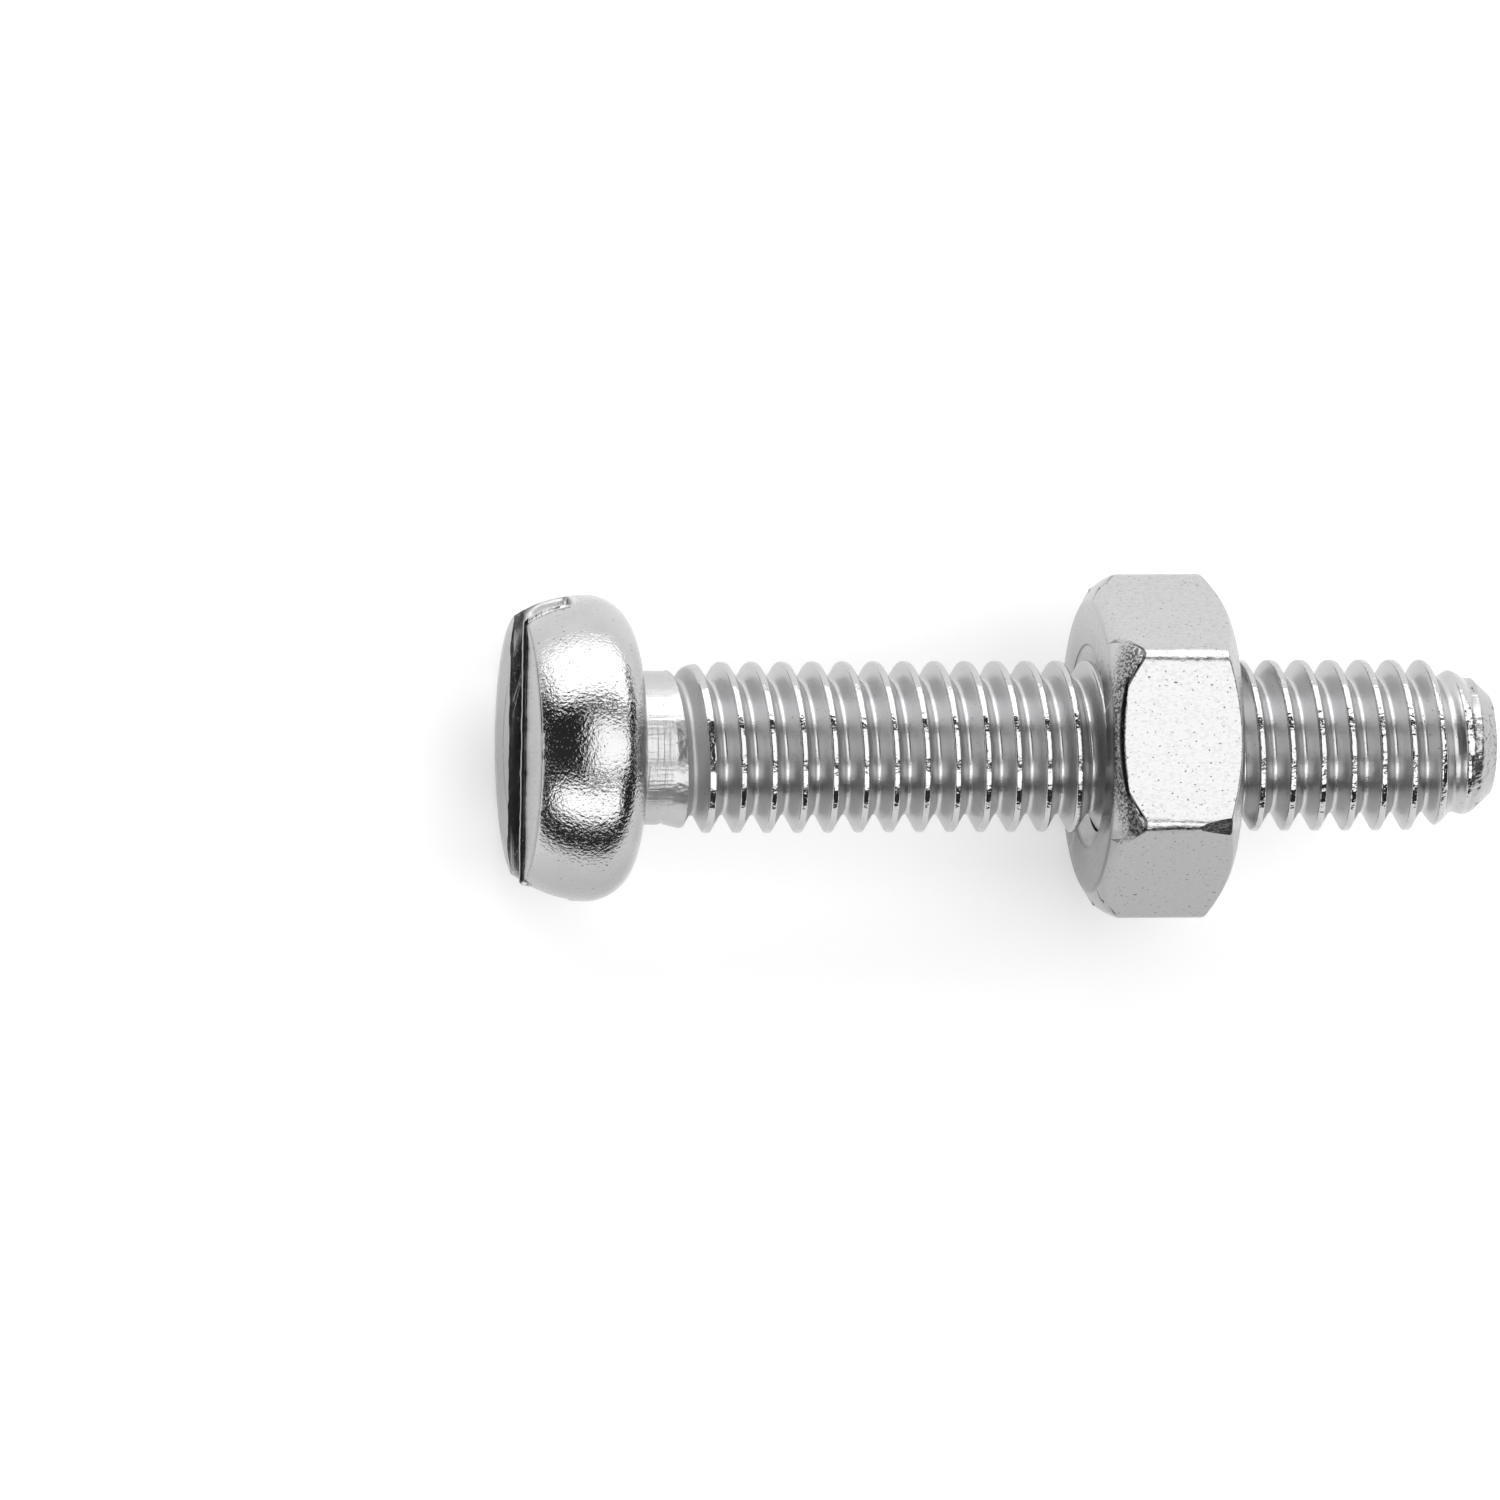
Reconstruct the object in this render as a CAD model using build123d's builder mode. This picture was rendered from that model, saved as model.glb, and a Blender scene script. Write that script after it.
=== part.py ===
from build123d import *
import os
from math import atan, cos, degrees, floor, radians, sqrt, tan

# Cheese head machine screw with its hexagon nut, bright zinc plated steel.
# Millimetres. The screw lies along X as it comes to rest: the head is at -X, the tip at +X
# and +Z is up. The origin is on the axis, in the bearing face under the head.

# Thread, shared by the screw and the nut: coarse metric, right-hand
pitch = 0.7
thread_d = 3.88
crest_flat = 0.12
flank_angle = 30
# Where the groove's root crosses the +Y side, next to the head, at full depth
thread_start = 1.115

# Shank: a plain neck, a cone where the thread comes up to size, the thread and a tapered tip
shank_length = 19.8
neck_d = 3.47
neck_length = 0.85
neck_cone_length = 0.9
runout_length = 0.6
bearing_clearance = 0.045
tip_taper_length = 1.55
tip_shoulder_d = 3.04
tip_bevel_length = 0.4
tip_d = 2.3

# Head: flat face, barrelled side, rounded down to a flat bearing face
head_d = 6.92
head_height = 2.47
head_face_d = 6.04
head_shoulder_length = 0.95
head_bearing_d = 5.6

# Driver slot, turned a little from the Y axis, with the lip that the saw pushed up along its edges
slot_width = 1.5
slot_depth = 1.2
slot_turn = 8.6
slot_lip_width = 0.09
slot_lip_height = 0.09

# Nut, lying on one flat
nut_across_flats = 6.85
nut_thickness = 3.0
nut_place = 10.58
nut_corner_radius = 0.45
nut_face_d = 6.5
nut_chamfer_angle = 30
nut_corner_clearance = 0.1
nut_thread_height = 0.29
nut_countersink_rise = 0.65
nut_countersink_depth = 0.38
nut_flank_clearance = 0.06

# Worked out from the sizes above
slope = tan(radians(flank_angle))
thread_r = thread_d / 2
neck_r = neck_d / 2
root_r = thread_r - (pitch - crest_flat) / 2 / slope
# The nut's groove is the screw's ridge, wider by the clearance on each flank
tap_root_r = thread_r + (crest_flat / 2 + nut_flank_clearance) / slope
bore_r = thread_r - nut_thread_height
# The lips end inside the rim of the head's face
lip_outer = slot_width / 2 + slot_lip_width
lip_length = 2 * (sqrt((head_face_d / 2) ** 2 - lip_outer**2) - slot_lip_width)
countersink_r = bore_r + nut_countersink_rise
# The cutters stand out past the crests by this, short of their next turn
cutter_over = crest_flat / 4 / slope
past_corner_r = nut_across_flats / 2 / cos(radians(30)) + nut_corner_clearance
# The corner under the head, so that a plate on the bearing face clears the thread
neck_corner = thread_r - neck_r + bearing_clearance


def winding(start, length, climb=0.0):
    """A right-hand helix about X from the +Y side. A negative length winds towards the head, and
    climb is the angle at which it leaves the thread's root."""
    way = 1 if length > 0 else -1
    helix = Edge.make_helix(pitch / cos(climb), abs(length), root_r, angle=degrees(climb))
    return Plane((start, 0, 0), x_dir=(0, 1, 0), z_dir=(way, 0, 0)).location * helix


def vee(middle, point_r, mouth_r):
    """Corners of a groove's section, its sides leaning at the flank angle."""
    half_mouth = abs(mouth_r - point_r) * slope
    return [(middle, point_r), (middle + half_mouth, mouth_r), (middle - half_mouth, mouth_r)]


with BuildPart() as screw:
    # Head, neck and shank are one blank, turned about the axis
    with BuildSketch(Plane.XY):
        with BuildLine():
            face_rim = (-head_height, head_face_d / 2)
            widest = (-head_shoulder_length, head_d / 2)
            bearing_rim = (0, head_bearing_d / 2)
            Line((-head_height, 0), face_rim)
            TangentArc(widest, face_rim, tangent=(-1, 0))
            TangentArc(widest, bearing_rim, tangent=(1, 0))
            Polyline(
                bearing_rim,
                (0, neck_r + neck_corner),
                (neck_corner, neck_r),
                (neck_length, neck_r),
                (neck_length + neck_cone_length, thread_r),
                (shank_length - tip_taper_length, thread_r),
                (shank_length - tip_bevel_length, tip_shoulder_d / 2),
                (shank_length, tip_d / 2),
                (shank_length, 0),
                (-head_height, 0),
            )
        make_face()
    revolve(axis=Axis.X)

    # The slot runs right across the head and leaves a lip along each edge
    with BuildSketch(Plane.YZ.offset(-head_height)):
        Rectangle(lip_length, 2 * lip_outer, rotation=slot_turn)
    extrude(amount=-slot_lip_height)
    with BuildSketch(Plane.YZ.offset(-head_height - slot_lip_height)):
        Rectangle(2 * head_d, slot_width, rotation=slot_turn)
    extrude(amount=slot_lip_height + slot_depth, mode=Mode.SUBTRACT)

    # The groove at full depth, cut a turn at a time, runs out past the tip
    groove_start = thread_start
    while groove_start < shank_length + pitch / 2:
        with BuildSketch(Plane.XY):
            Polygon(*vee(groove_start, root_r, thread_r + cutter_over), align=None)
        sweep(path=winding(groove_start, pitch), is_frenet=True, mode=Mode.SUBTRACT)
        groove_start += pitch

    # Towards the head it climbs out of the neck
    with BuildSketch(Plane.XY):
        Polygon(*vee(thread_start, root_r, thread_r + cutter_over), align=None)
    climb = atan((neck_r - root_r) / runout_length)
    sweep(path=winding(thread_start, -runout_length - pitch / 4, climb), is_frenet=True, mode=Mode.SUBTRACT)


with BuildPart() as nut:
    # A turned ring: chamfered outside, countersunk at both mouths of its bore
    with BuildSketch(Plane.XY):
        chamfer_length = (past_corner_r - nut_face_d / 2) * tan(radians(nut_chamfer_angle))
        with BuildLine() as near_half:
            Polyline(
                (nut_place + nut_thickness / 2, bore_r),
                (nut_place + nut_countersink_depth, bore_r),
                (nut_place, countersink_r),
                (nut_place, nut_face_d / 2),
                (nut_place + chamfer_length, past_corner_r),
                (nut_place + nut_thickness / 2, past_corner_r),
            )
            mirror(about=Plane.YZ.offset(nut_place + nut_thickness / 2))
        make_face()
    revolve(axis=Axis.X)

    # Made from hexagonal bar with its corners a little rounded
    with BuildSketch(Plane.YZ.offset(nut_place)) as bar:
        RegularPolygon(nut_across_flats / 2, 6, major_radius=False)
        fillet(bar.vertices(), nut_corner_radius)
    extrude(amount=nut_thickness, mode=Mode.INTERSECT)

    # The thread's groove lies over the screw's ridge
    ridge = thread_start + pitch / 2
    tap_start = ridge + pitch * floor((nut_place - ridge) / pitch - 0.5)
    while tap_start < nut_place + nut_thickness + pitch / 2:
        with BuildSketch(Plane.XY):
            Polygon(*vee(tap_start, tap_root_r, bore_r - cutter_over), align=None)
        sweep(path=winding(tap_start, pitch), is_frenet=True, mode=Mode.SUBTRACT)
        tap_start += pitch

os.makedirs("parts", exist_ok=True)
screw.part.label = "screw"
export_step(screw.part, "parts/screw.step")
nut.part.label = "nut"
export_step(nut.part, "parts/nut.step")
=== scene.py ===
import math

import bpy
from mathutils import Matrix, Vector, noise


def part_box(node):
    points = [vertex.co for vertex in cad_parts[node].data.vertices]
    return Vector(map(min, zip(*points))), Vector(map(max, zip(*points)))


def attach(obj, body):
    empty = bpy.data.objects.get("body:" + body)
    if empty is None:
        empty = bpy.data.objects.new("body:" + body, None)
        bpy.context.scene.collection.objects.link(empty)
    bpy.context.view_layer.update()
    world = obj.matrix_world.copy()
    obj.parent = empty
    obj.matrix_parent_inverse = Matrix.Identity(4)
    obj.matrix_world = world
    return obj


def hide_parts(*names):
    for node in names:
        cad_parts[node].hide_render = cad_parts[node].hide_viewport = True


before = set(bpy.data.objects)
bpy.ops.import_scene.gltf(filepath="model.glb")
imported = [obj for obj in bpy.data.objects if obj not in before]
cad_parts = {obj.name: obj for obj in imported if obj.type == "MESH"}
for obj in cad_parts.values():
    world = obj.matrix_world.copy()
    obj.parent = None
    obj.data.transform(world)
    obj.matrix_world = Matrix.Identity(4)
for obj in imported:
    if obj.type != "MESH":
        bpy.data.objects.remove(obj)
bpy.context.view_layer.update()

# Bright zinc plated cheese head screw with its hexagon nut. The sizes below are in millimetres,
# in the frame of the CAD model: the axis along X, the tip at +X, the origin under the head.
MM = 0.001

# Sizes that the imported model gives
screw_low, screw_high = (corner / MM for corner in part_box("screw"))
nut_low, nut_high = (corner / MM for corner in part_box("nut"))
HEAD_R = screw_high.z
HEAD_TOP = screw_low.x
TIP = screw_high.x
NUT_START = nut_low.x
NUT_END = nut_high.x
NUT_FLATS = nut_high.z - nut_low.z
FLOOR = screw_low.z

# Thread
PITCH = 0.7
THREAD_R = 1.94
THREAD_START = 1.115
CREST_FLAT = 0.12
CREST_ROUND = 0.045
ROOT_ROUND = 0.09
FLANK = math.radians(30)
VEE_R = THREAD_R - (PITCH - CREST_FLAT) / 2 / math.tan(FLANK)
THREAD_STEPS = 90

# Neck, run-out and tip
NECK_R = 1.735
NECK_END = 0.85
NECK_CONE_END = 1.75
NECK_JOIN = 0.4
RUNOUT = 0.6
TIP_TAPER = 1.55
TIP_BEVEL = 0.4
TIP_SHOULDER_R = 1.52
TIP_END_R = 1.15
TIP_FACE_R = 0.98

# Head and driver slot
FACE_R = 3.02
SHOULDER = 0.95
BEARING_R = 2.8
CORNER_UNDER_HEAD = 0.25
SLOT_WIDTH = 1.5
SLOT_DEPTH = 1.2
SLOT_TURN = math.radians(8.6)
SLOT_EDGE = 0.1
LIP_HEIGHT = 0.09
LIP_BURIED = 0.13
FACE = HEAD_TOP + LIP_HEIGHT
BARREL_R = ((SHOULDER + FACE) ** 2 + (HEAD_R - FACE_R) ** 2) / 2 / (HEAD_R - FACE_R)
HEAD_STEPS = 160

# Nut
NUT_FACE_R = 3.25
NUT_CHAMFER = math.radians(30)
NUT_CORNER_ROUND = 0.45
NUT_EDGE = 0.05
NUT_WORN_EDGE = 0.15
# Where the chamfer towards the head turns steeper, from the face and from the axis
KNOCKED_FROM = (0.21, 3.62)
KNOCKED_TO = (0.62, 3.88)
# A knock flattened one long edge: how far it tilts about the axis and leans towards the tip
KNOCK_TILT = math.radians(37.5)
KNOCK_LEAN = math.radians(6.5)
KNOCK_UP = Vector((
    math.cos(KNOCK_TILT) * math.sin(KNOCK_LEAN),
    -math.sin(KNOCK_TILT),
    math.cos(KNOCK_TILT) * math.cos(KNOCK_LEAN),
))
NUT_STEPS = 180
BORE_R = 1.65
MOUTH_R = 2.3
MOUTH_DEPTH = 0.38
TAP_CLEARANCE = 0.06
TAP_ROUND = 0.03
TAP_R = THREAD_R + (CREST_FLAT / 2 + TAP_CLEARANCE) / math.tan(FLANK)

# Photograph: pixels per millimetre, the place of the bearing face on the axis, and the view
IMAGE = 1500
SCALE = 44.4
BEARING_PIXEL = (626.0, 747.9)
CAMERA_YAW = math.radians(10.5)
CAMERA_TURN = math.radians(2.4)
CAMERA_ROLL = math.radians(0.22)
CAMERA_DISTANCE = 700


def deselect_all():
    if bpy.context.mode != "OBJECT":
        bpy.ops.object.mode_set(mode="OBJECT")
    bpy.ops.object.select_all(action="DESELECT")


def pick(piece):
    """Makes one piece the selected and active one."""
    deselect_all()
    piece.select_set(True)
    bpy.context.view_layer.objects.active = piece


def trace(name, points):
    """A run of edges through points (x, radius) in the XY plane, drawn by extruding one vertex."""
    deselect_all()
    x, r = points[0]
    bpy.ops.mesh.primitive_plane_add(size=MM, location=(x * MM, r * MM, 0))
    piece = bpy.context.object
    piece.name = name
    bpy.ops.object.transform_apply(location=True)
    bpy.ops.object.mode_set(mode="EDIT")
    bpy.ops.mesh.select_mode(type="VERT")
    bpy.ops.mesh.select_all(action="SELECT")
    bpy.ops.mesh.merge(type="CENTER")
    for before, after in zip(points, points[1:]):
        step = ((after[0] - before[0]) * MM, (after[1] - before[1]) * MM, 0)
        bpy.ops.mesh.extrude_region_move(TRANSFORM_OT_translate={"value": step})
    bpy.ops.object.mode_set(mode="OBJECT")
    return piece


def arc(centre, radius, start, end, steps):
    """Points (x, radius) on an arc, angles in radians from +X towards the outside."""
    points = []
    for i in range(steps + 1):
        angle = start + (end - start) * i / steps
        points.append((centre[0] + radius * math.cos(angle), centre[1] + radius * math.sin(angle)))
    return points


def apply_modifier(piece, kind, **settings):
    pick(piece)
    modifier = piece.modifiers.new(kind.title(), kind)
    for key, value in settings.items():
        setattr(modifier, key, value)
    bpy.ops.object.modifier_apply(modifier=modifier.name)


def tidy_mesh(piece, merge=0.0005):
    """Merges doubled vertices and turns every face outwards."""
    pick(piece)
    bpy.ops.object.mode_set(mode="EDIT")
    bpy.ops.mesh.select_all(action="SELECT")
    bpy.ops.mesh.remove_doubles(threshold=merge * MM)
    bpy.ops.mesh.normals_make_consistent(inside=False)
    bpy.ops.object.mode_set(mode="OBJECT")


def turn(piece, steps):
    """Spins a traced profile once about the screw's axis."""
    pick(piece)
    bpy.ops.object.mode_set(mode="EDIT")
    bpy.ops.mesh.select_all(action="SELECT")
    bpy.ops.mesh.spin(steps=steps, angle=2 * math.pi, center=(0, 0, 0), axis=(1, 0, 0))
    bpy.ops.object.mode_set(mode="OBJECT")
    tidy_mesh(piece)


def cut_across(piece, x, keep, fill=False):
    """Bisects a piece at x and clears the side that isn't kept, "above" or "below"."""
    pick(piece)
    bpy.ops.object.mode_set(mode="EDIT")
    bpy.ops.mesh.select_all(action="SELECT")
    bpy.ops.mesh.bisect(
        plane_co=(x * MM, 0, 0),
        plane_no=(1, 0, 0),
        use_fill=fill,
        clear_inner=keep == "above",
        clear_outer=keep == "below",
        threshold=0.0001 * MM,
    )
    bpy.ops.object.mode_set(mode="OBJECT")


def select_rim(piece, x, reach=0.002):
    """In edit mode: the open edges that lie at x."""
    pick(piece)
    bpy.ops.object.mode_set(mode="EDIT")
    bpy.ops.mesh.select_mode(type="EDGE")
    bpy.ops.mesh.select_all(action="DESELECT")
    bpy.ops.mesh.select_non_manifold(extend=False, use_wire=False, use_boundary=True)
    bpy.ops.object.mode_set(mode="OBJECT")
    for edge in piece.data.edges:
        ends = [piece.data.vertices[v].co.x / MM for v in edge.vertices]
        edge.select = edge.select and all(abs(end - x) < reach for end in ends)
    bpy.ops.object.mode_set(mode="EDIT")


def combine(piece, tool, operation):
    """Cuts or trims a piece with a tool, which is used up."""
    apply_modifier(piece, "BOOLEAN", object=tool, operation=operation, solver="EXACT")
    bpy.data.objects.remove(tool)


# Screw


def thread_profile():
    """One pitch of the thread, from root to root, with its roots and crests rounded."""
    root_centre = VEE_R + ROOT_ROUND / math.sin(FLANK)
    crest_centre = THREAD_R - CREST_ROUND
    crest_half = CREST_FLAT / 2 - CREST_ROUND * math.tan((math.pi / 2 - FLANK) / 2)
    low = -math.pi / 2
    points = arc((0, root_centre), ROOT_ROUND, low, -FLANK, 3)
    rise_start = points[-1]
    crest = arc((PITCH / 2 - crest_half, crest_centre), CREST_ROUND, math.pi - FLANK, math.pi / 2, 3)
    rise_end = crest[0]
    for part in (1 / 3, 2 / 3):
        points.append(tuple(a + (b - a) * part for a, b in zip(rise_start, rise_end)))
    half = points + crest
    return half + [(PITCH - x, r) for x, r in reversed(half)]


def blank_radius(x):
    """The radius of the blank at x: neck, cone, full thread, taper and bevel."""
    if x < NECK_END:
        return NECK_R
    if x < NECK_CONE_END:
        return NECK_R + (THREAD_R - NECK_R) * (x - NECK_END) / (NECK_CONE_END - NECK_END)
    if x < TIP - TIP_TAPER:
        return THREAD_R
    if x < TIP - TIP_BEVEL:
        return THREAD_R + (TIP_SHOULDER_R - THREAD_R) * (x - TIP + TIP_TAPER) / (TIP_TAPER - TIP_BEVEL)
    return TIP_SHOULDER_R + (TIP_END_R - TIP_SHOULDER_R) * (x - TIP + TIP_BEVEL) / TIP_BEVEL


def fit_thread_to_blank(piece):
    """Lets the groove climb out towards the head and the thread fade towards the tip."""
    climb = (NECK_R - VEE_R) / RUNOUT
    for vertex in piece.data.vertices:
        x, y, z = vertex.co / MM
        r = math.hypot(y, z)
        turned = math.atan2(z, y) / (2 * math.pi)
        groove = THREAD_START + PITCH * (turned + round((x - THREAD_START) / PITCH - turned))
        raised = r + max(0, THREAD_START - groove) * climb
        if x < TIP - TIP_TAPER:
            fitted = min(blank_radius(x), raised)
        else:
            fade = min(1, (x - TIP + TIP_TAPER) / (TIP_TAPER - TIP_BEVEL))
            lowered = TIP_SHOULDER_R + (r - TIP_SHOULDER_R) * (1 - fade)
            fitted = min(blank_radius(x), max(lowered, r - fade))
        vertex.co.y *= fitted / r
        vertex.co.z *= fitted / r


def roll_thread():
    """The threaded shank from the neck to the tip, open at both ends."""
    piece = trace("screw_plated", thread_profile())
    for vertex in piece.data.vertices:
        vertex.co.x += (THREAD_START - 2 * PITCH) * MM
    turns = math.ceil((TIP - THREAD_START) / PITCH) + 3
    apply_modifier(
        piece, "SCREW", axis="X", angle=2 * math.pi, screw_offset=PITCH * MM, iterations=turns,
        steps=THREAD_STEPS, render_steps=THREAD_STEPS, use_merge_vertices=True, merge_threshold=0.0005 * MM,
    )
    tidy_mesh(piece)
    fit_thread_to_blank(piece)
    cut_across(piece, NECK_JOIN, keep="above")
    cut_across(piece, TIP, keep="below")
    return piece


def close_tip(piece):
    """Rounds the tip's edge down to a flat end face."""
    select_rim(piece, TIP)
    bpy.ops.mesh.extrude_region_move()
    shrink = TIP_FACE_R / TIP_END_R
    bpy.ops.transform.resize(value=(1, shrink, shrink), center_override=(TIP * MM, 0, 0))
    bpy.ops.mesh.edge_face_add()
    bpy.ops.object.mode_set(mode="OBJECT")


def turn_head():
    """The head and the start of the neck, open where the shank joins."""
    run = -SHOULDER - FACE
    fall = HEAD_R - BEARING_R
    round_r = (SHOULDER * SHOULDER + fall * fall) / 2 / fall
    side = math.pi / 2
    points = [(FACE, 0), (FACE, FACE_R * 0.5), (FACE, FACE_R * 0.92)]
    points += arc((-SHOULDER, HEAD_R - BARREL_R), BARREL_R, side + math.asin(run / BARREL_R), side, 14)
    points += arc((-SHOULDER, HEAD_R - round_r), round_r, side, side - math.asin(SHOULDER / round_r), 12)[1:]
    points += [(0, NECK_R + CORNER_UNDER_HEAD)]
    corner = (CORNER_UNDER_HEAD, NECK_R + CORNER_UNDER_HEAD)
    points += arc(corner, CORNER_UNDER_HEAD, math.pi, 1.5 * math.pi, 4)[1:]
    points += [(NECK_JOIN, NECK_R)]
    piece = trace("head", points)
    turn(piece, HEAD_STEPS)
    return piece


def mill_slot(head):
    """Cuts the driver slot right across the head and softens the sharp edges."""
    deselect_all()
    bpy.ops.mesh.primitive_cube_add(size=MM, location=((FACE + SLOT_DEPTH - 1) * MM, 0, 0))
    cutter = bpy.context.object
    bpy.ops.transform.resize(value=(2, 3 * HEAD_R, SLOT_WIDTH))
    bpy.ops.transform.rotate(value=-SLOT_TURN, orient_axis="X", center_override=(0, 0, 0))
    bpy.ops.object.transform_apply()
    apply_modifier(cutter, "BEVEL", width=0.06 * MM, segments=3, limit_method="ANGLE")
    combine(head, cutter, "DIFFERENCE")
    apply_modifier(
        head, "BEVEL", width=SLOT_EDGE * MM, segments=3, limit_method="ANGLE", angle_limit=math.radians(32),
        miter_outer="MITER_ARC",
    )


def beside_slot(across, low_x, high_x):
    """Points (x, y) of the head's surface in a plane beside the slot: up the barrel from low_x, over
    the face and down the barrel to high_x. Without low_x and high_x they stay on the face."""
    def barrel(x):
        radius = HEAD_R - BARREL_R + math.sqrt(BARREL_R ** 2 - (x + SHOULDER) ** 2)
        return math.sqrt(radius ** 2 - across ** 2)

    chord = math.sqrt(FACE_R ** 2 - across ** 2)
    if low_x is None:
        chord -= 0.1
    points = []
    if low_x is not None:
        points += [(x, -barrel(x)) for x in (low_x + (FACE - low_x) * i / 8 for i in range(8))]
    points += [(FACE, chord * (i / 40 - 1)) for i in range(81)]
    if high_x is not None:
        points += [(x, barrel(x)) for x in (FACE + (high_x - FACE) * i / 14 for i in range(1, 15))]
    return points


def push_up_lip(head, side, low_x=None, high_x=None):
    """A ragged lip that the saw left along one edge of the slot, side 1 or -1."""
    across = SLOT_WIDTH / 2 + 0.005
    path = beside_slot(across, low_x, high_x)
    lip = trace("lip", path)
    pick(lip)
    bpy.ops.object.mode_set(mode="EDIT")
    bpy.ops.mesh.select_all(action="SELECT")
    bpy.ops.mesh.extrude_region_move(TRANSFORM_OT_translate={"value": (-5 * MM, 0, 0)})
    bpy.ops.mesh.select_all(action="SELECT")
    # Widths of the lip from the slot outwards, and how much of its height it has there
    layers = [(0, 1), (0.055, 1), (0.075, 0.85), (0.08, 0.5), (0.1, -0.1)]
    for (before, _), (width, _) in zip(layers, layers[1:]):
        bpy.ops.mesh.extrude_region_move(TRANSFORM_OT_translate={"value": (0, 0, (width - before) * MM)})
    bpy.ops.object.mode_set(mode="OBJECT")
    for vertex in lip.data.vertices:
        x, y, z = vertex.co / MM
        crest = x < HEAD_TOP - 1
        if crest:
            x += 5
        at = min(range(len(path)), key=lambda i: abs(path[i][0] - x) + abs(path[i][1] - y))
        before, after = path[max(at - 1, 0)], path[min(at + 1, len(path) - 1)]
        along = Vector((after[0] - before[0], after[1] - before[1])).normalized()
        to_end = min(at, len(path) - 1 - at) / 6
        ragged = noise.noise(Vector((y * 2.5, side * 7, x)))
        fine = noise.noise(Vector((y * 9, side * 3, x * 9)))
        share = min(layers, key=lambda layer: abs(layer[0] - z))[1]
        height = LIP_HEIGHT * (0.82 + 0.18 * ragged + 0.2 * fine) * min(1, to_end) * share
        height = min(height, LIP_HEIGHT * 0.99) if crest else -LIP_BURIED
        vertex.co.x = (x - along.y * height) * MM
        vertex.co.y = (y + along.x * height) * MM
        sway = max(0, 0.016 * ragged + 0.006 * fine) if z < 0.01 else 0.016 * ragged + 0.01 * fine
        vertex.co.z = side * (across + z + sway) * MM
    pick(lip)
    bpy.ops.transform.rotate(value=-SLOT_TURN, orient_axis="X", center_override=(0, 0, 0))
    bpy.ops.object.transform_apply()
    tidy_mesh(lip, 0)
    combine(head, lip, "UNION")


def join_pieces(first, second):
    pick(first)
    second.select_set(True)
    bpy.ops.object.join()


def make_screw():
    screw = roll_thread()
    close_tip(screw)
    head = turn_head()
    # The slot is cut in a closed head, so the neck's mouth is filled and opened again
    select_rim(head, NECK_JOIN)
    bpy.ops.mesh.edge_face_add()
    bpy.ops.object.mode_set(mode="OBJECT")
    mill_slot(head)
    push_up_lip(head, 1, FACE + 0.2, FACE + 1)
    push_up_lip(head, -1)
    cut_across(head, NECK_JOIN - 0.05, keep="below")
    join_pieces(screw, head)
    pick(screw)
    bpy.ops.object.mode_set(mode="EDIT")
    bpy.ops.mesh.select_mode(type="EDGE")
    bpy.ops.mesh.select_all(action="DESELECT")
    bpy.ops.mesh.select_non_manifold(extend=False, use_wire=False, use_boundary=True)
    bpy.ops.mesh.bridge_edge_loops()
    bpy.ops.object.mode_set(mode="OBJECT")
    tidy_mesh(screw)
    pick(screw)
    bpy.ops.object.shade_smooth_by_angle(angle=math.radians(35))
    return screw


# Nut


def turn_nut_blank():
    """A disc with both rims chamfered. Towards the head its corners are knocked rounder."""
    past_corner = NUT_FLATS / 2 / math.cos(math.radians(30)) + 0.1
    chamfer = (past_corner - NUT_FACE_R) * math.tan(NUT_CHAMFER)
    near = [(NUT_START, 0), (NUT_START, NUT_FACE_R)]
    near += [(NUT_START + along, r) for along, r in (KNOCKED_FROM, (0.38, 3.75), KNOCKED_TO, (1, 4.055))]
    far = [(NUT_END - chamfer, past_corner), (NUT_END, NUT_FACE_R), (NUT_END, 0)]
    blank = trace("nut_plated", near + far)
    turn(blank, NUT_STEPS)
    return blank


def hexagon_bar():
    """Bar that stands out at both faces of the nut, with its long edges rounded."""
    deselect_all()
    bpy.ops.mesh.primitive_cylinder_add(
        vertices=6,
        radius=NUT_FLATS / 2 / math.cos(math.radians(30)) * MM,
        depth=(NUT_END - NUT_START + 2) * MM,
        location=((NUT_START + NUT_END) / 2 * MM, 0, 0),
        rotation=(0, math.pi / 2, 0),
    )
    bar = bpy.context.object
    bpy.ops.object.transform_apply()
    width = NUT_CORNER_ROUND * math.tan(math.radians(30))
    apply_modifier(bar, "BEVEL", width=width * MM, segments=5, limit_method="ANGLE")
    return bar


def soften_edges(nut):
    """Rounds the nut's edges, most where the flats meet the chamfer towards the head."""
    pick(nut)
    bpy.ops.object.mode_set(mode="EDIT")
    bpy.ops.mesh.select_mode(type="EDGE")
    bpy.ops.mesh.select_all(action="DESELECT")
    bpy.ops.mesh.edges_select_sharp(sharpness=math.radians(25))
    bpy.ops.object.mode_set(mode="OBJECT")
    weights = nut.data.attributes.new("bevel_weight_edge", "FLOAT", "EDGE")
    for edge, weight in zip(nut.data.edges, weights.data):
        if edge.select:
            x, y, z = sum((nut.data.vertices[v].co for v in edge.vertices), Vector()) / 2 / MM
            r = math.hypot(y, z)
            weight.value = NUT_EDGE / NUT_WORN_EDGE
            if x < (NUT_START + NUT_END) / 2 and r > NUT_FACE_R + 0.08:
                weight.value += (1 - weight.value) * min(1, max(0, (3.7 - r) / 0.2))
    apply_modifier(
        nut, "BEVEL", width=NUT_WORN_EDGE * MM, segments=4, limit_method="WEIGHT", use_clamp_overlap=False,
    )


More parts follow.
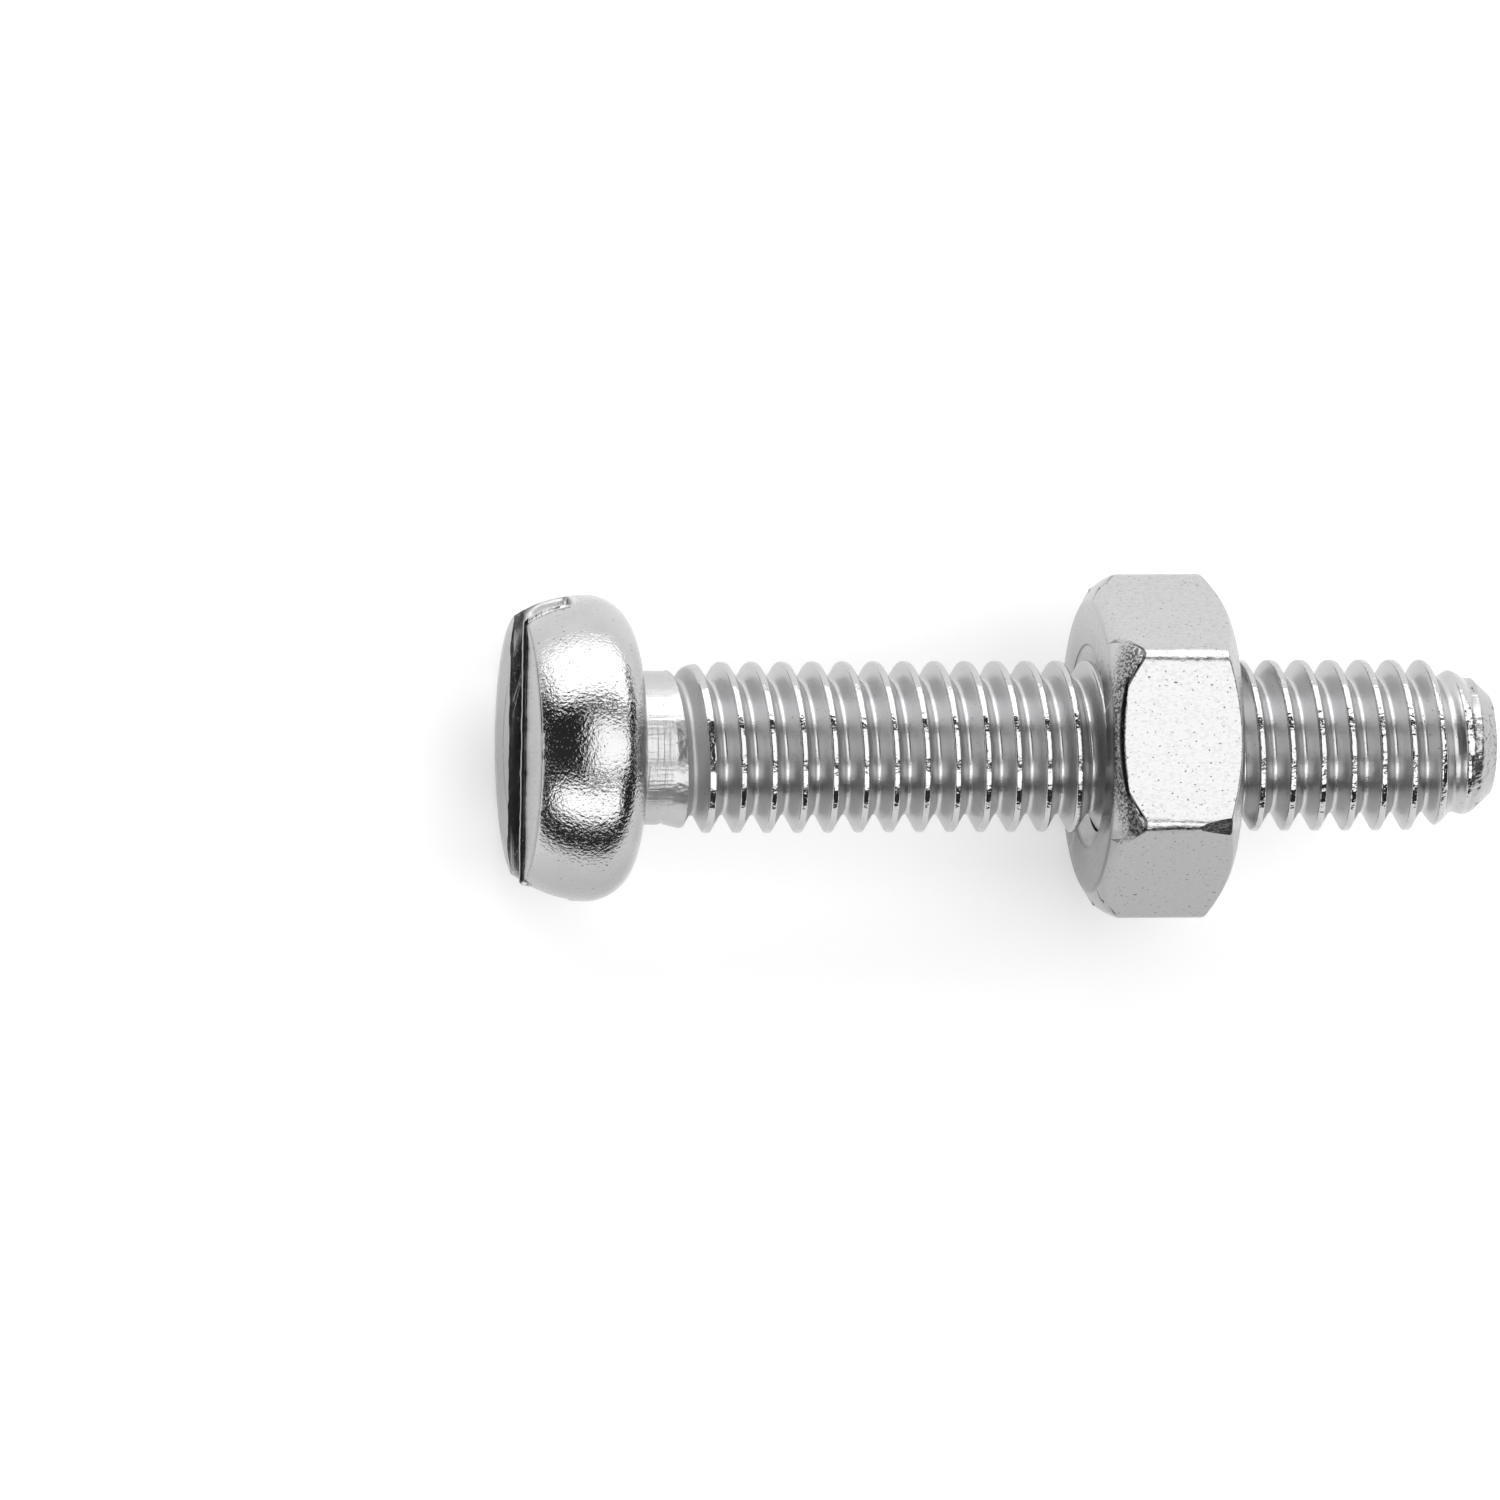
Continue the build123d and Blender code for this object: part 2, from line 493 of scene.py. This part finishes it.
def flatten_corner(nut):
    """A knock that flattened one long edge, deeper towards the tip."""
    deepest = Vector((NUT_END - 0.37, -NUT_FLATS / 2 * math.tan(math.radians(30)) + 0.079, NUT_FLATS / 2 - 0.102))
    bpy.ops.mesh.primitive_cube_add(
        size=2 * MM, location=(deepest + KNOCK_UP) * MM, rotation=(KNOCK_TILT, KNOCK_LEAN, 0),
    )
    knock = bpy.context.object
    bpy.ops.object.transform_apply()
    combine(nut, knock, "DIFFERENCE")


def drill():
    """The bore with a countersink at each mouth, as a solid to take away."""
    over = 0.5
    slope = (MOUTH_R - BORE_R) / MOUTH_DEPTH
    near = [(NUT_START - over, 0), (NUT_START - over, MOUTH_R + over * slope), (NUT_START + MOUTH_DEPTH, BORE_R)]
    far = [(NUT_START + NUT_END - x, r) for x, r in reversed(near)]
    cutter = trace("drill", near + far)
    turn(cutter, NUT_STEPS)
    return cutter


def tap():
    """The nut's thread as a solid to take away, over the screw's ridge."""
    root_centre = TAP_R - TAP_ROUND / math.sin(FLANK)
    foot_r = BORE_R - 0.05
    root = arc((0, root_centre), TAP_ROUND, math.pi / 2, FLANK, 3)
    foot = ((TAP_R - foot_r) * math.tan(FLANK), foot_r)
    half = root + [foot]
    profile = half + [(PITCH - x, r) for x, r in reversed(half)]
    cutter = trace("tap", profile)
    first = THREAD_START + PITCH / 2 + PITCH * math.floor((NUT_START - THREAD_START) / PITCH - 3)
    for vertex in cutter.data.vertices:
        vertex.co.x += first * MM
    apply_modifier(
        cutter, "SCREW", axis="X", angle=2 * math.pi, screw_offset=PITCH * MM,
        iterations=math.ceil((NUT_END - NUT_START) / PITCH) + 6, steps=THREAD_STEPS,
        render_steps=THREAD_STEPS, use_merge_vertices=True, merge_threshold=0.0005 * MM,
    )
    tidy_mesh(cutter)
    cut_across(cutter, NUT_START - 0.4, keep="above", fill=True)
    cut_across(cutter, NUT_END + 0.4, keep="below", fill=True)
    tidy_mesh(cutter)
    return cutter


def make_nut():
    nut = turn_nut_blank()
    combine(nut, hexagon_bar(), "INTERSECT")
    tidy_mesh(nut, 0.04)
    soften_edges(nut)
    flatten_corner(nut)
    combine(nut, drill(), "DIFFERENCE")
    combine(nut, tap(), "DIFFERENCE")
    pick(nut)
    bpy.ops.object.shade_smooth_by_angle(angle=math.radians(32))
    # The knocked facet stays crisp
    crisp = {key for face in nut.data.polygons if face.normal.dot(KNOCK_UP) > 0.9995 for key in face.edge_keys}
    for edge in nut.data.edges:
        if edge.key in crisp:
            edge.use_edge_sharp = True
    apply_modifier(nut, "WEIGHTED_NORMAL", weight=50, keep_sharp=True)
    return nut


# Materials


def new_material(name):
    material = bpy.data.materials.new(name)
    material.use_nodes = True
    return material, material.node_tree.nodes, material.node_tree.links


def math_node(nodes, links, operation, *values):
    node = nodes.new("ShaderNodeMath")
    node.operation = operation
    for socket, value in zip(node.inputs, values):
        if isinstance(value, (int, float)):
            socket.default_value = value
        else:
            links.new(value, socket)
    return node.outputs[0]


def total(nodes, links, *values):
    """The sum of two or more values."""
    result = values[0]
    for value in values[1:]:
        result = math_node(nodes, links, "ADD", result, value)
    return result


def product(nodes, links, *values):
    """The product of two or more values."""
    result = values[0]
    for value in values[1:]:
        result = math_node(nodes, links, "MULTIPLY", result, value)
    return result


def ramp(nodes, links, value, low, high, to_low=0.0, to_high=1.0):
    """Goes smoothly from to_low where value is low to to_high where it is high."""
    node = nodes.new("ShaderNodeMapRange")
    node.interpolation_type = "SMOOTHSTEP"
    links.new(value, node.inputs["Value"])
    for socket, number in zip(node.inputs[1:5], (low, high, to_low, to_high)):
        socket.default_value = number
    return node.outputs["Result"]


def band(nodes, links, value, low, high, soft):
    """1 where value lies between low and high, with soft edges."""
    above = ramp(nodes, links, value, low - soft, low + soft)
    below = ramp(nodes, links, value, high - soft, high + soft, 1, 0)
    return product(nodes, links, above, below)


def grain(nodes, links, place, scale, detail=2.0, stretch=None):
    """Noise from 0 to 1 with features 1/scale millimetres across, finer or longer along an axis."""
    if stretch:
        node = nodes.new("ShaderNodeVectorMath")
        node.operation = "MULTIPLY"
        links.new(place, node.inputs[0])
        node.inputs[1].default_value = stretch
        place = node.outputs["Vector"]
    node = nodes.new("ShaderNodeTexNoise")
    links.new(place, node.inputs["Vector"])
    node.inputs["Scale"].default_value = scale
    node.inputs["Detail"].default_value = detail
    return node.outputs["Fac"]


def place_in_mm(nodes, links):
    """Object coordinates in millimetres, whole and apart."""
    node = nodes.new("ShaderNodeVectorMath")
    node.operation = "SCALE"
    links.new(nodes.new("ShaderNodeTexCoord").outputs["Object"], node.inputs[0])
    node.inputs["Scale"].default_value = 1 / MM
    split = nodes.new("ShaderNodeSeparateXYZ")
    links.new(node.outputs["Vector"], split.inputs[0])
    return node.outputs["Vector"], *split.outputs


def distance_from_axis(nodes, links, y, z):
    squares = total(nodes, links, product(nodes, links, y, y), product(nodes, links, z, z))
    return math_node(nodes, links, "SQRT", squares)


def mix_tones(nodes, links, mask, first, second):
    """Goes from the first colour to the second as the mask goes from 0 to 1."""
    node = nodes.new("ShaderNodeMix")
    node.data_type = "RGBA"
    links.new(mask, node.inputs["Factor"])
    for socket, tone in ((node.inputs[6], first), (node.inputs[7], second)):
        if isinstance(tone, tuple):
            socket.default_value = tone
        else:
            links.new(tone, socket)
    return node.outputs[2]


def zinc_skin_group():
    """The plated skin that all three finishes share: pebbles, fine grain and dark pits."""
    group = bpy.data.node_groups.new("zinc_skin", "ShaderNodeTree")
    sockets = group.interface
    sockets.new_socket(name="Place", in_out="INPUT", socket_type="NodeSocketVector")
    for name in ("Pebble Height", "Grain Height", "Pit Density"):
        sockets.new_socket(name=name, in_out="INPUT", socket_type="NodeSocketFloat")
    for name in ("Height", "Pits", "Cloud"):
        sockets.new_socket(name=name, in_out="OUTPUT", socket_type="NodeSocketFloat")
    nodes, links = group.nodes, group.links
    given = nodes.new("NodeGroupInput").outputs
    put = nodes.new("NodeGroupOutput").inputs
    pebbles = grain(nodes, links, given["Place"], 13, 2.0)
    fine = grain(nodes, links, given["Place"], 32, 2.0)
    specks = grain(nodes, links, given["Place"], 16, 1.0)
    cloud = grain(nodes, links, given["Place"], 0.9, 2.0)
    threshold = math_node(nodes, links, "SUBTRACT", 0.8, product(nodes, links, given["Pit Density"], 0.3))
    over = math_node(nodes, links, "SUBTRACT", specks, threshold)
    pits = ramp(nodes, links, over, 0.0, 0.05)
    height = total(
        nodes, links,
        product(nodes, links, pebbles, given["Pebble Height"]),
        product(nodes, links, fine, given["Grain Height"]),
        product(nodes, links, pits, -0.004),
    )
    links.new(height, put["Height"])
    links.new(pits, put["Pits"])
    links.new(cloud, put["Cloud"])
    return group


def zinc_skin(nodes, links, group, place, pebble, fine, pits):
    """Places the skin in a material. Heights are in millimetres."""
    node = nodes.new("ShaderNodeGroup")
    node.node_tree = group
    links.new(place, node.inputs["Place"])
    for name, value in (("Pebble Height", pebble), ("Grain Height", fine), ("Pit Density", pits)):
        if isinstance(value, (int, float)):
            node.inputs[name].default_value = value
        else:
            links.new(value, node.inputs[name])
    return node.outputs


def finish_zinc(nodes, links, color, roughness, height):
    """Wires a plated finish to the material's own shader. The height is in millimetres."""
    shader = nodes["Principled BSDF"]
    shader.inputs["Metallic"].default_value = 1
    links.new(color, shader.inputs["Base Color"])
    links.new(roughness, shader.inputs["Roughness"])
    bump = nodes.new("ShaderNodeBump")
    bump.inputs["Distance"].default_value = MM
    links.new(height, bump.inputs["Height"])
    links.new(bump.outputs["Normal"], shader.inputs["Normal"])


ZINC = (0.49, 0.49, 0.495, 1)
# A brighter tone for painted highlights, on the thread's roots and on the end of the slot's far wall
ZINC_PAINTED_HIGHLIGHT = (0.64, 0.64, 0.645, 1)
ZINC_DULL = (0.43, 0.43, 0.435, 1)
ZINC_STREAK = (0.43, 0.43, 0.435, 1)
ZINC_WORN = (0.1, 0.1, 0.102, 1)
# Painted shade for the walls of the slot
SLOT_PAINTED_SHADE = (0.42, 0.42, 0.423, 1)
# A duller tone for the head's face, also used as painted shade towards -Y on the head and the nut
DULL_FACE_AND_PAINTED_SHADE = (0.3, 0.3, 0.303, 1)
FACE_SHADED = (0.2, 0.2, 0.202, 1)
# A dark tone for real pits, also used for the painted shade lines on the nut
PIT_AND_PAINTED_SHADE_DARK = (0.09, 0.09, 0.09, 1)


def head_plating(skin_group):
    """The forged head: a pebbled barrel, a flatter face with a pressed ring, and the sawn slot."""
    material, nodes, links = new_material("head_zinc")
    place, x, y, z = place_in_mm(nodes, links)
    r = distance_from_axis(nodes, links, y, z)
    turn_cos, turn_sin = math.cos(SLOT_TURN), math.sin(SLOT_TURN)
    across = total(nodes, links, product(nodes, links, z, turn_cos), product(nodes, links, y, -turn_sin))
    along = total(nodes, links, product(nodes, links, y, turn_cos), product(nodes, links, z, turn_sin))
    from_edge = math_node(nodes, links, "SUBTRACT", math_node(nodes, links, "ABSOLUTE", across), SLOT_WIDTH / 2)
    on_face = ramp(nodes, links, x, FACE + 0.01, FACE + 0.05, 1, 0)
    in_slot = product(
        nodes, links,
        ramp(nodes, links, from_edge, 0.005, 0.03, 1, 0),
        ramp(nodes, links, x, FACE + SLOT_DEPTH + 0.02, FACE + SLOT_DEPTH + 0.05, 1, 0),
    )
    outside = math_node(nodes, links, "SUBTRACT", 1, in_slot)
    pebble = product(nodes, links, outside, ramp(nodes, links, on_face, 0, 1, 0.0125, 0.003))
    skin = zinc_skin(nodes, links, skin_group, place, pebble, 0.0026, 0.3)
    # The punch left a ring on one half of the face
    ring = product(
        nodes, links, on_face, band(nodes, links, r, 1.78, 1.92, 0.07),
        ramp(nodes, links, across, -0.8, -0.9), ramp(nodes, links, grain(nodes, links, place, 12, 2.0), 0.35, 0.65),
        -0.02,
    )
    # The saw left bands across the floor and lines along the walls
    bands = nodes.new("ShaderNodeTexNoise")
    bands.noise_dimensions = "1D"
    links.new(along, bands.inputs["W"])
    bands.inputs["Scale"].default_value = 1.6
    bands.inputs["Detail"].default_value = 2
    on_floor = ramp(nodes, links, x, FACE + SLOT_DEPTH - 0.1, FACE + SLOT_DEPTH - 0.05)
    sawn = product(nodes, links, in_slot, on_floor, bands.outputs["Fac"], 0.2)
    lines = product(nodes, links, in_slot, grain(nodes, links, place, 1, 2.0, (30, 2, 2)), 0.002)
    # The far wall turns outwards where it comes out at the barrel's +Y side
    from_widest = math_node(nodes, links, "ADD", x, 0.95)
    barrel = math_node(nodes, links, "MULTIPLY_ADD", product(nodes, links, from_widest, from_widest), -0.19, HEAD_R)
    inside = math_node(nodes, links, "SUBTRACT", r, barrel)
    far_end = ramp(nodes, links, y, 0, 0.5)
    turned_out = product(
        nodes, links, in_slot, far_end, ramp(nodes, links, x, -2.35, -1.9),
        ramp(nodes, links, inside, -0.33, 0, 0, 0.33), -0.3,
    )
    height = total(nodes, links, skin["Height"], ring, sawn, lines, turned_out)
    tone = mix_tones(nodes, links, ramp(nodes, links, skin["Cloud"], 0.3, 0.7), ZINC_DULL, ZINC)
    # Painted shade: the head is darker towards -Y
    tone = mix_tones(nodes, links, ramp(nodes, links, y, -3.2, -2.2, 0.6, 0), tone, DULL_FACE_AND_PAINTED_SHADE)
    # Painted shade: the face's half towards the floor is darker
    face_tone_with_shade = mix_tones(nodes, links, ramp(nodes, links, across, -0.4, 0.4), FACE_SHADED, DULL_FACE_AND_PAINTED_SHADE)
    tone = mix_tones(nodes, links, on_face, tone, face_tone_with_shade)
    # Painted highlight: where the far wall comes out at the barrel's +Y side it gets a brighter colour, and more
    # roughness
    painted_highlight_wall_ends = product(
        nodes, links, in_slot, far_end, ramp(nodes, links, inside, -0.36, -0.32), ramp(nodes, links, x, -2.28, -2.18),
    )
    # Painted shade: the slot's walls get a darker colour
    walls = math_node(nodes, links, "SUBTRACT", in_slot, painted_highlight_wall_ends)
    tone = mix_tones(nodes, links, walls, tone, SLOT_PAINTED_SHADE)
    tone = mix_tones(nodes, links, painted_highlight_wall_ends, tone, ZINC_PAINTED_HIGHLIGHT)
    tone = mix_tones(nodes, links, product(nodes, links, skin["Pits"], outside), tone, PIT_AND_PAINTED_SHADE_DARK)
    roughness = total(
        nodes, links,
        ramp(nodes, links, skin["Cloud"], 0.3, 0.7, 0.06, 0.11),
        product(nodes, links, in_slot, 0.05),
        product(nodes, links, painted_highlight_wall_ends, 0.15),
    )
    finish_zinc(nodes, links, tone, roughness, height)
    return material


def shank_plating(skin_group):
    """Neck, thread and tip: satin flanks, bright crests, roots with a painted highlight, a turned neck, a chewed tip.
    """
    material, nodes, links = new_material("shank_zinc")
    place, x, y, z = place_in_mm(nodes, links)
    depth = nodes.new("ShaderNodeAttribute")
    depth.attribute_name = "groove_depth"
    depth = depth.outputs["Fac"]
    neck = ramp(nodes, links, x, NECK_END - 0.1, NECK_END + 0.05, 1, 0)
    tip = ramp(nodes, links, x, TIP - TIP_BEVEL - 0.3, TIP - TIP_BEVEL - 0.15)
    crest = ramp(nodes, links, depth, 0.02, 0.05, 1, 0)
    root = ramp(nodes, links, depth, 0.4, 0.44)
    threaded = product(nodes, links, math_node(nodes, links, "SUBTRACT", 1, neck), math_node(nodes, links, "SUBTRACT", 1, tip))
    flank = product(nodes, links, threaded, math_node(nodes, links, "SUBTRACT", 1, crest), math_node(nodes, links, "SUBTRACT", 1, root))
    skin = zinc_skin(nodes, links, skin_group, place, 0.004, 0.0015, 0.22)
    # Turned lines run round the neck, and some scores along it
    turned = product(nodes, links, neck, grain(nodes, links, place, 1, 3.0, (14, 0.5, 0.5)), 0.03)
    scored = product(nodes, links, neck, grain(nodes, links, place, 1, 2.0, (0.6, 14, 14)), 0.012)
    rolled = product(
        nodes, links, threaded, crest, grain(nodes, links, place, 5, 2.0), ramp(nodes, links, x, 12, 16, 0.018, 0.035),
    )
    chewed = product(nodes, links, tip, grain(nodes, links, place, 1, 2.0, (2, 6, 6)), 0.04)
    height = total(nodes, links, skin["Height"], turned, scored, rolled, chewed)
    # Painted highlight: the roots are brighter than the flanks, while neck and crests keep the plain zinc
    tone = mix_tones(nodes, links, flank, ZINC_PAINTED_HIGHLIGHT, ZINC)
    tone = mix_tones(nodes, links, total(nodes, links, neck, product(nodes, links, threaded, crest)), tone, ZINC)
    tone = mix_tones(nodes, links, tip, tone, ZINC_DULL)
    tip_pits = product(nodes, links, tip, ramp(nodes, links, grain(nodes, links, place, 4, 4.0), 0.62, 0.68))
    tone = mix_tones(nodes, links, tip_pits, tone, PIT_AND_PAINTED_SHADE_DARK)
    tone = mix_tones(nodes, links, skin["Pits"], tone, PIT_AND_PAINTED_SHADE_DARK)
    roughness = total(
        nodes, links,
        ramp(nodes, links, skin["Cloud"], 0.3, 0.7, 0.06, 0.1),
        product(nodes, links, flank, 0.22),
        product(nodes, links, ramp(nodes, links, x, 1.3, 1.8, 1, 0), 0.24),
        product(nodes, links, tip, 0.17),
    )
    finish_zinc(nodes, links, tone, roughness, height)
    return material


def nut_plating(skin_group):
    """Flats with fine drawn streaks, and chamfers pitted by the tumbling."""
    material, nodes, links = new_material("nut_zinc")
    place, x, y, z = place_in_mm(nodes, links)
    r = distance_from_axis(nodes, links, y, z)
    middle = (NUT_START + NUT_END) / 2
    from_middle = math_node(nodes, links, "ABSOLUTE", math_node(nodes, links, "SUBTRACT", x, middle))
    # Dull and pitted along the upper flat: the surface that lies on the chamfer towards the head or
    # on its steeper part at the corners
    knocked_slope = (KNOCKED_TO[0] - KNOCKED_FROM[0]) / (KNOCKED_TO[1] - KNOCKED_FROM[1])
    knocked_start = NUT_START + KNOCKED_FROM[0] - knocked_slope * KNOCKED_FROM[1]
    chamfer_slope = KNOCKED_FROM[0] / (KNOCKED_FROM[1] - NUT_FACE_R)
    chamfer = math_node(
        nodes, links, "MAXIMUM",
        math_node(nodes, links, "MULTIPLY_ADD", r, knocked_slope, knocked_start),
        math_node(nodes, links, "MULTIPLY_ADD", r, chamfer_slope, NUT_START - chamfer_slope * NUT_FACE_R),
    )
    beyond = math_node(nodes, links, "SUBTRACT", x, chamfer)
    worn = product(
        nodes, links, ramp(nodes, links, beyond, 0.0, 0.06, 1, 0), ramp(nodes, links, z, 2.75, 3.25),
        ramp(nodes, links, r, NUT_FACE_R - 0.3, NUT_FACE_R),
    )
    density = total(nodes, links, product(nodes, links, worn, 0.25), 0.33)
    skin = zinc_skin(nodes, links, skin_group, place, 0.004, 0.003, density)
    streaks = grain(nodes, links, place, 1, 3.0, (9, 18, 18))
    waves = product(nodes, links, ramp(nodes, links, r, 3.55, 3.75), grain(nodes, links, place, 3, 1.0), 0.02)
    height = total(nodes, links, skin["Height"], product(nodes, links, streaks, 0.003), waves)
    tone = mix_tones(nodes, links, ramp(nodes, links, streaks, 0.35, 0.55), ZINC_STREAK, ZINC)
    on_end = ramp(nodes, links, from_middle, (NUT_END - NUT_START) / 2 - 0.06, (NUT_END - NUT_START) / 2 - 0.02)
    # Painted shade: the end faces are darker towards -Y
    end_tone_with_shade = mix_tones(nodes, links, ramp(nodes, links, y, -2.5, 1.5), FACE_SHADED, ZINC_DULL)
    # Painted shade: the flats are darker towards -Y
    tone = mix_tones(nodes, links, ramp(nodes, links, y, -2.1, -1.9, 0.7, 0), tone, DULL_FACE_AND_PAINTED_SHADE)
    tone = mix_tones(nodes, links, on_end, tone, end_tone_with_shade)
    speckle = ramp(nodes, links, grain(nodes, links, place, 16, 2.0), 0.47, 0.53)
    tone = mix_tones(nodes, links, worn, tone, mix_tones(nodes, links, speckle, ZINC_WORN, ZINC_DULL))
    # Painted shade: a dark line along the rounded edge between the worn chamfer and the upper flat, on the upper side
    # only
    painted_edge_shade = product(nodes, links, band(nodes, links, beyond, 0.02, 0.09, 0.01), ramp(nodes, links, z, 2.9, 3.3))
    tone = mix_tones(nodes, links, painted_edge_shade, tone, PIT_AND_PAINTED_SHADE_DARK)
    # The countersinks left a sharp rim, and the dark line painted along it on the end faces is painted shade
    painted_rim_shade = product(nodes, links, on_end, band(nodes, links, r, MOUTH_R - 0.03, MOUTH_R + 0.02, 0.015))
    tone = mix_tones(nodes, links, painted_rim_shade, tone, PIT_AND_PAINTED_SHADE_DARK)
    tone = mix_tones(nodes, links, skin["Pits"], tone, PIT_AND_PAINTED_SHADE_DARK)
    roughness = total(
        nodes, links,
        ramp(nodes, links, streaks, 0.3, 0.7, 0.16, 0.24),
        product(nodes, links, worn, 0.12),
    )
    finish_zinc(nodes, links, tone, roughness, height)
    return material


def dress(piece, *materials):
    piece.data.materials.clear()
    for material in materials:
        piece.data.materials.append(material)


def dress_screw(piece, head, shank):
    """One finish for the head and one for the shank, and each vertex's depth below the blank."""
    dress(piece, head, shank)
    for face in piece.data.polygons:
        place = face.center / MM
        in_head = place.x < 0.001 or math.hypot(place.y, place.z) > THREAD_R + 0.02
        face.material_index = 0 if in_head else 1
    depth = piece.data.attributes.new("groove_depth", "FLOAT", "POINT")
    for vertex, value in zip(piece.data.vertices, depth.data):
        x, y, z = vertex.co / MM
        value.value = blank_radius(max(x, 0)) - math.hypot(y, z)


# Studio


def studio_direction(nodes, links):
    """The way a ray leaves: degrees across the screw from the camera, and degrees along it."""
    split = nodes.new("ShaderNodeSeparateXYZ")
    links.new(nodes.new("ShaderNodeTexCoord").outputs["Generated"], split.inputs[0])
    x, y, z = split.outputs
    to_degrees = 180 / math.pi
    across = math_node(nodes, links, "ARCTAN2", y, z)
    across = math_node(nodes, links, "MULTIPLY_ADD", across, to_degrees, math.degrees(CAMERA_TURN))
    along = product(nodes, links, math_node(nodes, links, "ARCSINE", x), to_degrees)
    return across, along


def seen_white(nodes, links):
    """1 for what the camera sees straight, in a mirror or through glass."""
    path = nodes.new("ShaderNodeLightPath").outputs
    either = math_node(nodes, links, "MAXIMUM", path["Is Camera Ray"], path["Is Glossy Ray"])
    return math_node(nodes, links, "MAXIMUM", either, path["Is Transmission Ray"])


def mix_levels(nodes, links, mask, level, other):
    mix = nodes.new("ShaderNodeMix")
    links.new(mask, mix.inputs["Factor"])
    links.new(level, mix.inputs["A"])
    mix.inputs["B"].default_value = other
    return mix.outputs["Result"]


def light_studio():
    """Long soft boxes along the screw with dark gaps between them, painted in the world."""
    world = bpy.data.worlds.new("studio")
    bpy.context.scene.world = world
    world.use_nodes = True
    nodes, links = world.node_tree.nodes, world.node_tree.links
    across, along = studio_direction(nodes, links)
    level = None
    for across_low, across_high, along_low, along_high, soft, strength in SOFT_BOXES:
        mask = product(
            nodes, links,
            band(nodes, links, across, across_low, across_high, soft),
            band(nodes, links, along, along_low, along_high, soft),
        )
        if level is None:
            level = mix_levels(nodes, links, mask, ramp(nodes, links, across, -95, 95, *SURROUND), strength)
        else:
            level = mix_levels(nodes, links, mask, level, strength)
    seen = mix_levels(nodes, links, nodes.new("ShaderNodeLightPath").outputs["Is Camera Ray"], level, 1)
    background = nodes["Background"]
    background.inputs["Color"].default_value = (1, 1, 1, 1)
    links.new(seen, background.inputs["Strength"])


# Each box: across the screw from low to high in degrees from the camera, along it from low to high,
# softness of its edge, strength. The light all around is dimmer below the screw than above it.
SURROUND = (0.82, 1.08)
SOFT_BOXES = (
    (-88, 88, -57, 80, 1.5, 0.04),
    (40, 88, -36, 58, 1.5, 2.6),
    (-20, 24, -8, 60, 3.0, 2.0),
    (-57, -31, -36, 38, 2.5, 2.3),
    (70, 114, 49, 66, 2.0, 0.04),
    (58, 95, -62, -41, 2.0, 1.05),
)


# What the floor adds to its own white where it is seen
FLOOR_LIFT = 0.26


def lay_floor():
    deselect_all()
    bpy.ops.mesh.primitive_grid_add(x_subdivisions=2, y_subdivisions=2, size=3, location=(0, 0, FLOOR * MM))
    floor = bpy.context.object
    floor.name = "floor"
    material, nodes, links = new_material("floor_white")
    shader = nodes["Principled BSDF"]
    shader.inputs["Base Color"].default_value = (0.9, 0.9, 0.9, 1)
    shader.inputs["Roughness"].default_value = 1
    shader.inputs["Specular IOR Level"].default_value = 0
    shader.inputs["Emission Color"].default_value = (1, 1, 1, 1)
    links.new(product(nodes, links, seen_white(nodes, links), FLOOR_LIFT), shader.inputs["Emission Strength"])
    dress(floor, material)


def place_camera():
    """Looks down at the screw with a long lens, a little from the head's side."""
    data = bpy.data.cameras.new("camera")
    camera = bpy.data.objects.new("camera", data)
    bpy.context.scene.collection.objects.link(camera)
    bpy.context.scene.camera = camera
    back = Vector((
        -math.sin(CAMERA_YAW),
        -math.sin(CAMERA_TURN) * math.cos(CAMERA_YAW),
        math.cos(CAMERA_TURN) * math.cos(CAMERA_YAW),
    ))
    right = (Vector((1, 0, 0)) - back * back.x).normalized()
    right = Matrix.Rotation(-CAMERA_ROLL, 3, back) @ right
    up = back.cross(right)
    middle = IMAGE / 2
    aim = right * ((middle - BEARING_PIXEL[0]) / SCALE) + up * ((BEARING_PIXEL[1] - middle) / SCALE)
    data.sensor_width = 36
    data.lens = data.sensor_width * CAMERA_DISTANCE / (IMAGE / SCALE)
    data.clip_start = 0.01
    data.clip_end = 10
    place = (aim + back * CAMERA_DISTANCE) * MM
    camera.matrix_world = Matrix.Translation(place) @ Matrix((right, up, back)).transposed().to_4x4()


skin_group = zinc_skin_group()

screw = make_screw()
dress_screw(screw, head_plating(skin_group), shank_plating(skin_group))
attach(screw, "screw")
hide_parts("screw")
nut = make_nut()
dress(nut, nut_plating(skin_group))
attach(nut, "nut")
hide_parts("nut")
light_studio()
lay_floor()
place_camera()

bpy.context.scene.view_settings.view_transform = "Standard"
